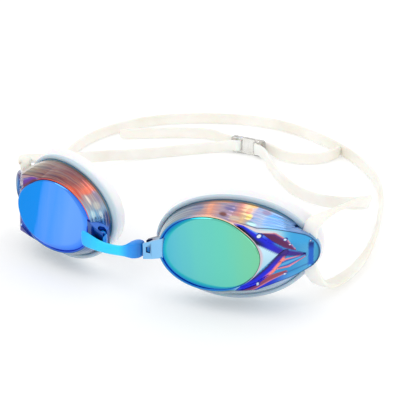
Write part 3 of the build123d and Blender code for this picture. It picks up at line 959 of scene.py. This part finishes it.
def shell_profile(k):
    """One cut through the shell: points as (distance, depth), with how far each is along and what it is."""
    angle = ANGLES[k]
    way = Vector((cos(angle), sin(angle)))
    lens, wing, rim = REACH_LENS[k], REACH_WING[k], REACH_RIM[k]
    points = [(lens + 0.06, 1.75, 0.0, "inner"), (lens + 0.06, 1.0, 0.0, "edge"),
              (lens + 0.22, 0.72, 0.02, "edge")]
    for i in range(RAMP_STEPS + 1):
        t = i / RAMP_STEPS
        r = lens + 0.4 + (wing - lens - 0.4) * t
        at = CENTRE + way * r
        points.append((r, wing_depth(at.x) + 0.1, t, "wing"))
    corner = CENTRE + way * wing
    corner_depth = wing_depth(corner.x) + 0.1
    at_rim = CENTRE + way * rim
    end_depth = rim_depth(at_rim.x)
    lug = smoothstep(24.5, 28.5, corner.x) * smoothstep(11.5, 8.5, abs(corner.y + 1.8))
    for s in WALL_SHARES[1:]:
        straight = (wing + (rim - wing) * s, corner_depth + (end_depth - corner_depth) * s)
        bulge = 0.3 * sin(pi * s) * (1 - lug)
        terrace = 0.045 * sin(s * 2 * pi * 6) * smoothstep(0.0, 0.1, s) * smoothstep(1.0, 0.9, s)
        floor = min(rim - 0.6, (28.8 - CENTRE.x) / max(way.x, 0.2))
        groove = along_groove(s, wing, rim, floor, corner_depth, end_depth)
        r = straight[0] + (groove[0] - straight[0]) * lug + bulge + terrace * (1 - lug)
        v = straight[1] + (groove[1] - straight[1]) * lug
        points.append((r, v, s, "wall"))
    inner_rim = rim - WALL_THICK
    points.append((rim + 0.25, end_depth + 0.35, 1.0, "rim"))
    points.append((rim - 0.1, end_depth + 0.8, 1.0, "rim"))
    points.append((inner_rim + 0.2, end_depth + 0.8, 1.0, "rim"))
    points.append((inner_rim, end_depth + 0.4, 1.0, "inner"))
    for s in (0.06, 0.14, 0.3, 0.5, 0.7, 0.85, 0.96):
        pull = 1.6 * lug * smoothstep(0.0, 0.14, s) * (1 - smoothstep(0.3, 0.9, s))
        r = inner_rim + (lens - WALL_THICK - inner_rim) * s - pull
        points.append((r, end_depth + (2.6 - end_depth) * s, 1 - s, "inner"))
    points.append((lens - WALL_THICK, 2.3, 0.0, "inner"))
    points.append((lens - WALL_THICK, 1.75, 0.0, "inner"))
    return angle, points


GROOVE_FRONT = 17.4
GROOVE_BACK = 19.65


def along_groove(s, wing, rim, floor, front, back):
    """The lug's own edge: the plate's side, the groove the strap lies in, and out to the rim."""
    corners = [(0.0, wing, front), (0.06, wing + 0.05, front + 0.2 * max(GROOVE_FRONT - front, 0.0)),
               (0.16, wing - 0.1, max(front + 0.1, GROOVE_FRONT - 0.3)), (0.22, wing - 0.6, GROOVE_FRONT),
               (0.5, floor + 0.4, GROOVE_FRONT), (0.56, floor, GROOVE_FRONT + 0.4), (0.72, floor,
                                                                                     GROOVE_BACK - 0.4),
               (0.78, floor + 0.4, GROOVE_BACK), (0.95, rim - 0.1, GROOVE_BACK + 0.2), (1.0, rim, back)]
    for (a, r0, v0), (b, r1, v1) in zip(corners, corners[1:]):
        if s <= b:
            t = (s - a) / (b - a)
            return r0 + (r1 - r0) * t, v0 + (v1 - v0) * t
    return rim, back


def add_shell(side, mirrored, material):
    rows, paint = [], []
    tables = {"around": [], "along": [], "streak": []}
    for k in range(STEPS_ROUND):
        angle, profile = shell_profile(k)
        degrees = 360 * k / STEPS_ROUND
        row, colours = [], []
        for r, v, s, kind in profile:
            place = cup_place(angle, r, v)
            at = Vector((place.x, place.z))
            wall = wall_colour(side, degrees)
            if kind == "wing":
                beyond = smoothstep(0.9, 2.2, REACH_WING[k] - REACH_LENS[k])
                colour, sunk = wing_look(at)
                if side == "right":
                    colour = mixed(colour, mixed(srgb(56, 104, 168), srgb(128, 62, 84),
                                                 smoothstep(-2, 3, at.y)), 0.6)
                fade = beyond * smoothstep(0.0, 0.08, s) * smoothstep(1.0, 0.96, s)
                place.y += sunk * fade
                ring = collar_colour(side, degrees)
                colour = mixed(mixed(ring, wall, smoothstep(0.2, 0.9, s)), colour, beyond)
                colour = mixed(ring, colour, smoothstep(0.0, 0.03, s))
                # painted shade: a dark line along the crease where the wing's front turns into the wall
                crease_shade = smoothstep(0.955, 0.985, s) * beyond
                colour = mixed(colour, srgb(24, 44, 96), 0.8 * crease_shade)
            elif kind == "edge":
                colour = collar_colour(side, degrees)
            elif kind == "wall":
                wall = patched(side, degrees, s, wall)
                colour = mixed(wall, srgb(175, 150, 90),
                               0.75 * smoothstep(0.88, 0.93, s) * smoothstep(0.975, 0.94, s)
                               * (1.0 if 15 < degrees < 175 else 0.2))
                colour = mixed(colour, srgb(112, 168, 196), smoothstep(0.955, 0.985, s))
            elif kind == "rim":
                colour = srgb(112, 168, 196)
            else:
                colour = srgb(60, 120, 170)
            row.append(place)
            colours.append(colour)
        rows.append(row)
        paint.append(colours)
        count = len(row)
        tables["around"].append([k / STEPS_ROUND] * count)
        tables["along"].append([p[2] for p in profile])
        upper = 0.25 + 0.75 * smoothstep(0, 20, degrees) * smoothstep(190, 165, degrees)
        tables["streak"].append([upper if p[3] == "wall" and p[2] < 0.94 else 0.0 for p in profile])
    finish_cup_piece(side + "_cup_shell", rows, tables, mirrored, material, side + "_shell",
                            closed_columns=True, paint=paint)


# ---------------------------------------------------------------- gasket


def add_gasket(side, mirrored, material):
    rows = []
    tables = {"along": []}
    for k in range(0, STEPS_ROUND, 2):
        angle = ANGLES[k]
        way = Vector((cos(angle), sin(angle)))
        rim, base, lip, mouth = REACH_RIM[k], REACH_BASE[k], REACH_LIP[k], REACH_MOUTH[k]
        v_rim = rim_depth((CENTRE + way * rim).x)
        v_base = rim_depth((CENTRE + way * base).x)
        v_lip = 15.5 + face_curve((CENTRE + way * lip).x)
        v_mouth = 15.1 + face_curve((CENTRE + way * mouth).x)
        corners = [
            (rim - 0.7, v_rim + 1.0), (rim + 0.05, v_rim + 1.0), (rim + 0.15, v_rim + 0.1),
            (base - 0.5, v_base - 0.15), (base, v_base + 0.3), (base + 0.05, v_base + 1.3), (base - 0.5,
                                                                                             v_base + 2.1),
            (base - 0.75, v_base + 3.0), (base - 0.2, v_base + 3.9), (lip - 0.3, v_lip - 1.3), (lip,
                                                                                                v_lip - 0.5),
            (lip - 0.15, v_lip), (lip - 0.9, v_lip + 0.25), (lip - 3.0, v_lip - 0.1), (mouth + 1.2,
                                                                                       v_mouth + 0.2),
            (mouth, v_mouth - 0.4), (mouth - 0.1, v_mouth - 1.6), (mouth + 1.6, v_mouth - 3.0),
            (rim - 2.2, v_rim + 1.9), (rim - 2.0, v_rim + 1.1),
        ]
        smooth = rounded([Vector(c) for c in corners], 2, closed=True)
        rows.append([cup_place(angle, p.x, p.y) for p in smooth])
        tables["along"].append([min(max((p.y - v_rim) / (v_lip - v_rim), 0.0), 1.0) for p in smooth])
    finish_cup_piece(side + "_eye_gasket", rows, tables, mirrored, material, side + "_gasket",
                            closed_columns=True)


# ---------------------------------------------------------------- lugs


def add_keeper(side, mirrored, material):
    """The bar that closes the strap's slot behind the lug's plate."""
    rows = []
    spread = [radians(-14 + 27 * i / 30) for i in range(31)]
    for angle in spread:
        wing, rim = reach(WING, angle), reach(RIM_EDGE, angle)
        front = wing_depth((CENTRE + Vector((cos(angle), sin(angle))) * wing).x)
        corners = [(wing - 0.1, front + 0.15), (wing + 0.05, front + 1.2), (wing - 0.1, 20.6),
                   (rim + 1.0, 21.1),
                   (rim - 0.6, 20.9), (rim - 0.6, GROOVE_BACK), (wing - 1.5, GROOVE_BACK),
                   (wing - 1.5, GROOVE_FRONT - 0.2)]
        smooth = rounded([Vector(c) for c in corners], 2, closed=True)
        rows.append([cup_place(angle, p.x, p.y) for p in smooth])
    colours = [srgb(96, 160, 210) if side == "left" else srgb(120, 120, 150)] * len(rows[0])
    place = Matrix.Scale(MM, 4) @ cup_matrix(mirrored)
    flat = {"around": [[0.5] * len(rows[0])] * len(rows), "along": [[0.5] * len(rows[0])] * len(rows),
            "streak": [[0.0] * len(rows[0])] * len(rows)}
    bm, verts = grid_mesh([[place @ p for p in row] for row in rows], False, True, flat,
                          [colours] * len(rows))
    bm.faces.new(verts[0])
    bm.faces.new(verts[-1])
    keeper = make_object(side + "_strap_keeper", bm, material)
    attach(keeper, "right_cup" if mirrored else "left_cup")


BARREL = Vector((9.9, -15.1))
LUG_LOW = 16.7
LUG_HIGH = 23.1
LUG_START_X = 8.3
LUG_TOP_SLOPE = 0.42
LUG_LOW_SLOPE = 0.22
SOCKET_RADIUS = 1.45
BARREL_RADIUS = 1.25
BARREL_Z = 20.3
NECK_HALF_WIDE = 0.5
NECK_HALF_HIGH = 2.2


def add_nose_lug(side, mirrored, material):
    """The block between the lens and the bridge, with a round socket for the bridge's barrel and a window."""
    plan = [(15.6, -16.0), (12.0, -16.9), (8.35, -17.1)]
    for degrees in range(-153, 154, 17):
        a = radians(degrees)
        plan.append((BARREL.x + SOCKET_RADIUS * cos(a), BARREL.y + SOCKET_RADIUS * sin(a)))
    plan += [(8.3, -14.3), (8.3, -12.6), (11.0, -11.9), (16.6, -11.2), (16.6, -14.5)]
    sign = -1 if mirrored else 1
    bm = bmesh.new()
    base = [bm.verts.new(Vector((sign * x, y, LUG_LOW)) * MM) for x, y in plan]
    bottom = bm.faces.new(base)
    raised = bmesh.ops.extrude_face_region(bm, geom=[bottom])
    for item in raised["geom"]:
        if isinstance(item, bmesh.types.BMVert):
            x = abs(item.co.x) / MM
            item.co.z = (LUG_HIGH + LUG_TOP_SLOPE * (x - LUG_START_X)) * MM
    for vert in base:
        vert.co.z += LUG_LOW_SLOPE * (abs(vert.co.x) / MM - LUG_START_X) * MM
    bmesh.ops.recalc_face_normals(bm, faces=bm.faces)
    lug = make_object(side + "_nose_lug", bm, material)
    cutter_mesh = bmesh.new()
    bmesh.ops.create_cube(cutter_mesh, size=1.0)
    for vert in cutter_mesh.verts:
        vert.co = Vector((sign * (10.5 + vert.co.x * 1.6), -17.0 + vert.co.y * 1.7,
                          20.9 + vert.co.z * 2.2)) * MM
    cutter = make_object("cutter", cutter_mesh, material)
    cut = lug.modifiers.new("window", "BOOLEAN")
    cut.operation = "DIFFERENCE"
    cut.object = cutter
    cut.solver = "EXACT"
    bevel = lug.modifiers.new("edges", "BEVEL")
    bevel.width = 0.28 * MM
    bevel.segments = 3
    bevel.limit_method = "ANGLE"
    bevel.angle_limit = radians(35)
    apply_modifiers(lug)
    bpy.data.objects.remove(cutter)
    paint_vertices(lug, lambda p: lug_colour(side, p))
    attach(lug, "right_cup" if mirrored else "left_cup")


def lug_colour(side, p):
    x, y, z = abs(p.x) / MM, p.y / MM, p.z / MM
    # painted shade: the inner walls of the window are dark blue
    window_shade = 9.6 < x < 11.4 and 19.7 < z < 22.1 and -17.0 < y < -15.8
    if window_shade:
        return srgb(30, 60, 104)
    if y < -15.7:
        face = mixed(srgb(124, 186, 234), srgb(134, 194, 238), smoothstep(9, 14, x))
    else:
        face = mixed(srgb(26, 30, 66), srgb(96, 76, 116), smoothstep(9, 12, x) * smoothstep(15, 13, x))
    if side == "left":
        return face
    dark = mixed(srgb(22, 34, 74), srgb(20, 84, 170), smoothstep(20, 23, z))
    glint = mixed(srgb(236, 196, 40), srgb(150, 80, 60), smoothstep(22, 18, z))
    return mixed(dark, glint, 0.85 * smoothstep(15.2, 16.4, x) * smoothstep(-15.6, -16.4, y))


def apply_modifiers(piece):
    """Puts the shape that the modifiers give into the mesh itself."""
    depsgraph = bpy.context.evaluated_depsgraph_get()
    mesh = bpy.data.meshes.new_from_object(piece.evaluated_get(depsgraph))
    old = piece.data
    piece.modifiers.clear()
    piece.data = mesh
    bpy.data.meshes.remove(old)
    for face in mesh.polygons:
        face.use_smooth = False


def paint_vertices(piece, colour_at):
    mesh = piece.data
    paint = mesh.attributes.new("paint", "FLOAT_COLOR", "POINT")
    for k, vert in enumerate(mesh.vertices):
        paint.data[k].color = (*colour_at(vert.co), 1)
    for name, value in (("around", 0.5), ("along", 0.5), ("streak", 0.0)):
        layer = mesh.attributes.new(name, "FLOAT", "POINT")
        for item in layer.data:
            item.value = value


# ---------------------------------------------------------------- nose bridge

BRIDGE_STATIONS = [
    # x, front, back, lowest, highest
    (-16.65, -18.7, -18.2, 18.9, 22.2),
    (-16.6, -19.0, -17.9, 18.0, 22.9),
    (-16.2, -19.3, -17.75, 17.2, 23.4),
    (-15.0, -19.4, -17.7, 16.7, 23.2),
    (-12.5, -19.4, -17.7, 16.4, 22.2),
    (-9.5, -19.4, -17.7, 16.2, 21.0),
    (-6.0, -19.4, -17.7, 16.1, 20.5),
    (-2.0, -19.4, -17.7, 16.4, 20.6),
    (0.6, -19.4, -17.5, 16.7, 21.0),
    (2.0, -19.4, -16.6, 16.7, 21.6),
    (3.2, -19.35, -15.0, 16.6, 22.5),
    (4.6, -19.3, -14.1, 16.6, 23.0),
    (6.0, -18.9, -13.8, 16.7, 23.2),
    (7.0, -18.3, -13.8, 16.9, 23.1),
    (7.6, -17.7, -14.0, 17.2, 22.8),
    (7.8, -17.2, -14.4, 17.6, 22.4),
]


def add_bridge(material):
    rows = []
    along = []
    stations = []
    for first, second in zip(BRIDGE_STATIONS, BRIDGE_STATIONS[1:]):
        for i in range(4):
            stations.append(tuple(a + (b - a) * i / 4 for a, b in zip(first, second)))
    stations.append(BRIDGE_STATIONS[-1])
    for _ in range(3):
        stations = [stations[0]] + [
            tuple((p + 2 * q + r) / 4 for p, q, r in zip(a, b, c))
            for a, b, c in zip(stations, stations[1:], stations[2:])] + [stations[-1]]
    for x, front, back, low, high in stations:
        inset = min(0.75, 0.42 * (back - front), 0.42 * (high - low))
        corners = [Vector(p) for p in ((front, low), (back, low), (back, high), (front, high))]
        outline = rounded(cut_corners(corners, inset), 3, closed=True)
        rows.append([Vector((x, p.x, p.y)) * MM for p in outline])
        along.append([(x + 16.7) / 24.6] * len(outline))
    bm, verts = grid_mesh(rows, False, True, {"along": along})
    bm.faces.new(verts[0])
    bm.faces.new(verts[-1])
    bridge = make_object("bridge_band", bm, material)
    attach(bridge, "bridge_and_strap")
    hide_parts("nose_bridge")
    for side, sign in (("left", 1), ("right", -1)):
        add_barrel(side, sign, material)


def add_barrel(side, sign, material):
    """The round pin that the cup's lug turns on, with the neck that carries it."""
    rows = []
    heights = [-2.3, -2.3, -2.1, -1.0, 0.0, 1.0, 2.1, 2.3, 2.3]
    radii = [0.0, 1.0] + [BARREL_RADIUS] * 5 + [1.0, 0.0]
    for k in range(32):
        a = 2 * pi * k / 32
        rows.append([Vector((sign * (BARREL.x + r * cos(a)), BARREL.y + r * sin(a), BARREL_Z + h)) * MM
                     for h, r in zip(heights, radii)])
    tone = [[0.9] * len(heights)] * len(rows)
    bm, verts = grid_mesh(rows, True, False, {"along": tone})
    for column in (0, len(heights) - 1):
        bmesh.ops.pointmerge(bm, verts=[row[column] for row in verts], merge_co=rows[0][column])
    barrel = make_object(side + "_barrel", bm, material)
    neck_stations = [(-18.0, 7.4), (-17.0, 7.45), (-16.2, 7.5), (-15.6, 7.8), (-15.15, 8.4), (-15.1, 9.0)]
    if side == "left":
        neck_stations = [(-15.12, 7.4), (-15.1, 8.2), (-15.08, 9.0)]
    rows = []
    for y, x in neck_stations:
        corners = [Vector((sign * (x + NECK_HALF_WIDE * dx), BARREL_Z + NECK_HALF_HIGH * dz)) for dx,
                   dz in SQUARE]
        outline = rounded(corners, 2, closed=True)
        rows.append([Vector((p.x, y, p.y)) * MM for p in outline])
    bm, verts = grid_mesh(rows, False, True, {"along": [[0.9] * len(rows[0])] * len(rows)})
    bm.faces.new(verts[0])
    bm.faces.new(verts[-1])
    neck = make_object(side + "_barrel_neck", bm, material)
    for piece in (barrel, neck):
        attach(piece, "bridge_and_strap")
        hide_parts("nose_bridge")


# ---------------------------------------------------------------- strap clip


def add_clip(material):
    """A standing frame with a slot inside each post, for the strap's two ends."""
    half = CLIP_LONG / 2
    slot_in, slot_out = half - POST - POST_GAP, half - POST
    columns = [-half, -half + 1.2, -slot_out, -slot_in, -1.6, 1.6, slot_in, slot_out, half - 1.2, half]
    levels = [0.0, CLIP_SILL, 2.6, CLIP_HIGH - 2.6, CLIP_HIGH - CLIP_SILL, CLIP_HIGH]
    bm = bmesh.new()
    grid = [[bm.verts.new(Vector((CLIP.x + x, CLIP.y - CLIP_DEEP / 2, z))
                          * MM) for z in levels] for x in columns]
    faces = []
    for i in range(len(columns) - 1):
        for j in range(len(levels) - 1):
            slot = columns[i] in (-slot_out, slot_in) and 0 < j < len(levels) - 2
            if not slot:
                faces.append(bm.faces.new((grid[i][j], grid[i + 1][j], grid[i + 1][j + 1], grid[i][j + 1])))
    for corner in (grid[0][0], grid[0][-1], grid[-1][0], grid[-1][-1]):
        middle = Vector((CLIP.x, 0, CLIP_HIGH / 2)) * MM
        corner.co.x += 0.35 * MM if corner.co.x < middle.x else -0.35 * MM
        corner.co.z += 0.35 * MM if corner.co.z < middle.z else -0.35 * MM
    raised = bmesh.ops.extrude_face_region(bm, geom=faces)
    for item in raised["geom"]:
        if isinstance(item, bmesh.types.BMVert):
            item.co.y += CLIP_DEEP * MM
    bmesh.ops.recalc_face_normals(bm, faces=bm.faces)
    clip = make_object("strap_clip_frame", bm, material)
    bevel = clip.modifiers.new("edges", "BEVEL")
    bevel.width = 0.4 * MM
    bevel.segments = 3
    bevel.limit_method = "ANGLE"
    apply_modifiers(clip)
    for face in clip.data.polygons:
        face.use_smooth = True
    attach(clip, "bridge_and_strap")
    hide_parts("strap_clip")


# ---------------------------------------------------------------- the scene

add_camera()
add_stage()
add_strap()
for cup, is_mirrored in (("left", False), ("right", True)):
    if cup == "left":
        mirror = mirror_material("green mirror", [
            (0.00, (58, 176, 206)), (0.14, (90, 186, 203)), (0.40, (100, 198, 190)),
            (0.64, (102, 202, 182)), (0.88, (114, 202, 166)), (1.00, (118, 202, 158)),
        ], [(0.0, (78, 190, 200)), (0.3, (40, 180, 190)), (0.7, (18, 146, 200)), (1.0, (14, 96, 210))])
    else:
        mirror = mirror_material("blue mirror", [
            (0.00, (96, 156, 255)), (0.28, (100, 160, 255)), (0.50, (72, 150, 250)),
            (0.58, (84, 152, 252)), (0.66, (62, 146, 250)), (0.70, (6, 136, 232)),
            (1.00, (0, 134, 226)),
        ], [(0.0, (92, 156, 255)), (0.6, (70, 140, 250)), (1.0, (44, 108, 238))])
    plastic = shell_material(cup + " shell", 0.0 if cup == "left" else 4.0)
    add_lens(cup, is_mirrored, mirror)
    add_shell(cup, is_mirrored, plastic)
    add_keeper(cup, is_mirrored, plastic)
    add_nose_lug(cup, is_mirrored, plastic)
    add_gasket(cup, is_mirrored, gasket_material())
add_bridge(bridge_material())
add_clip(clip_material())
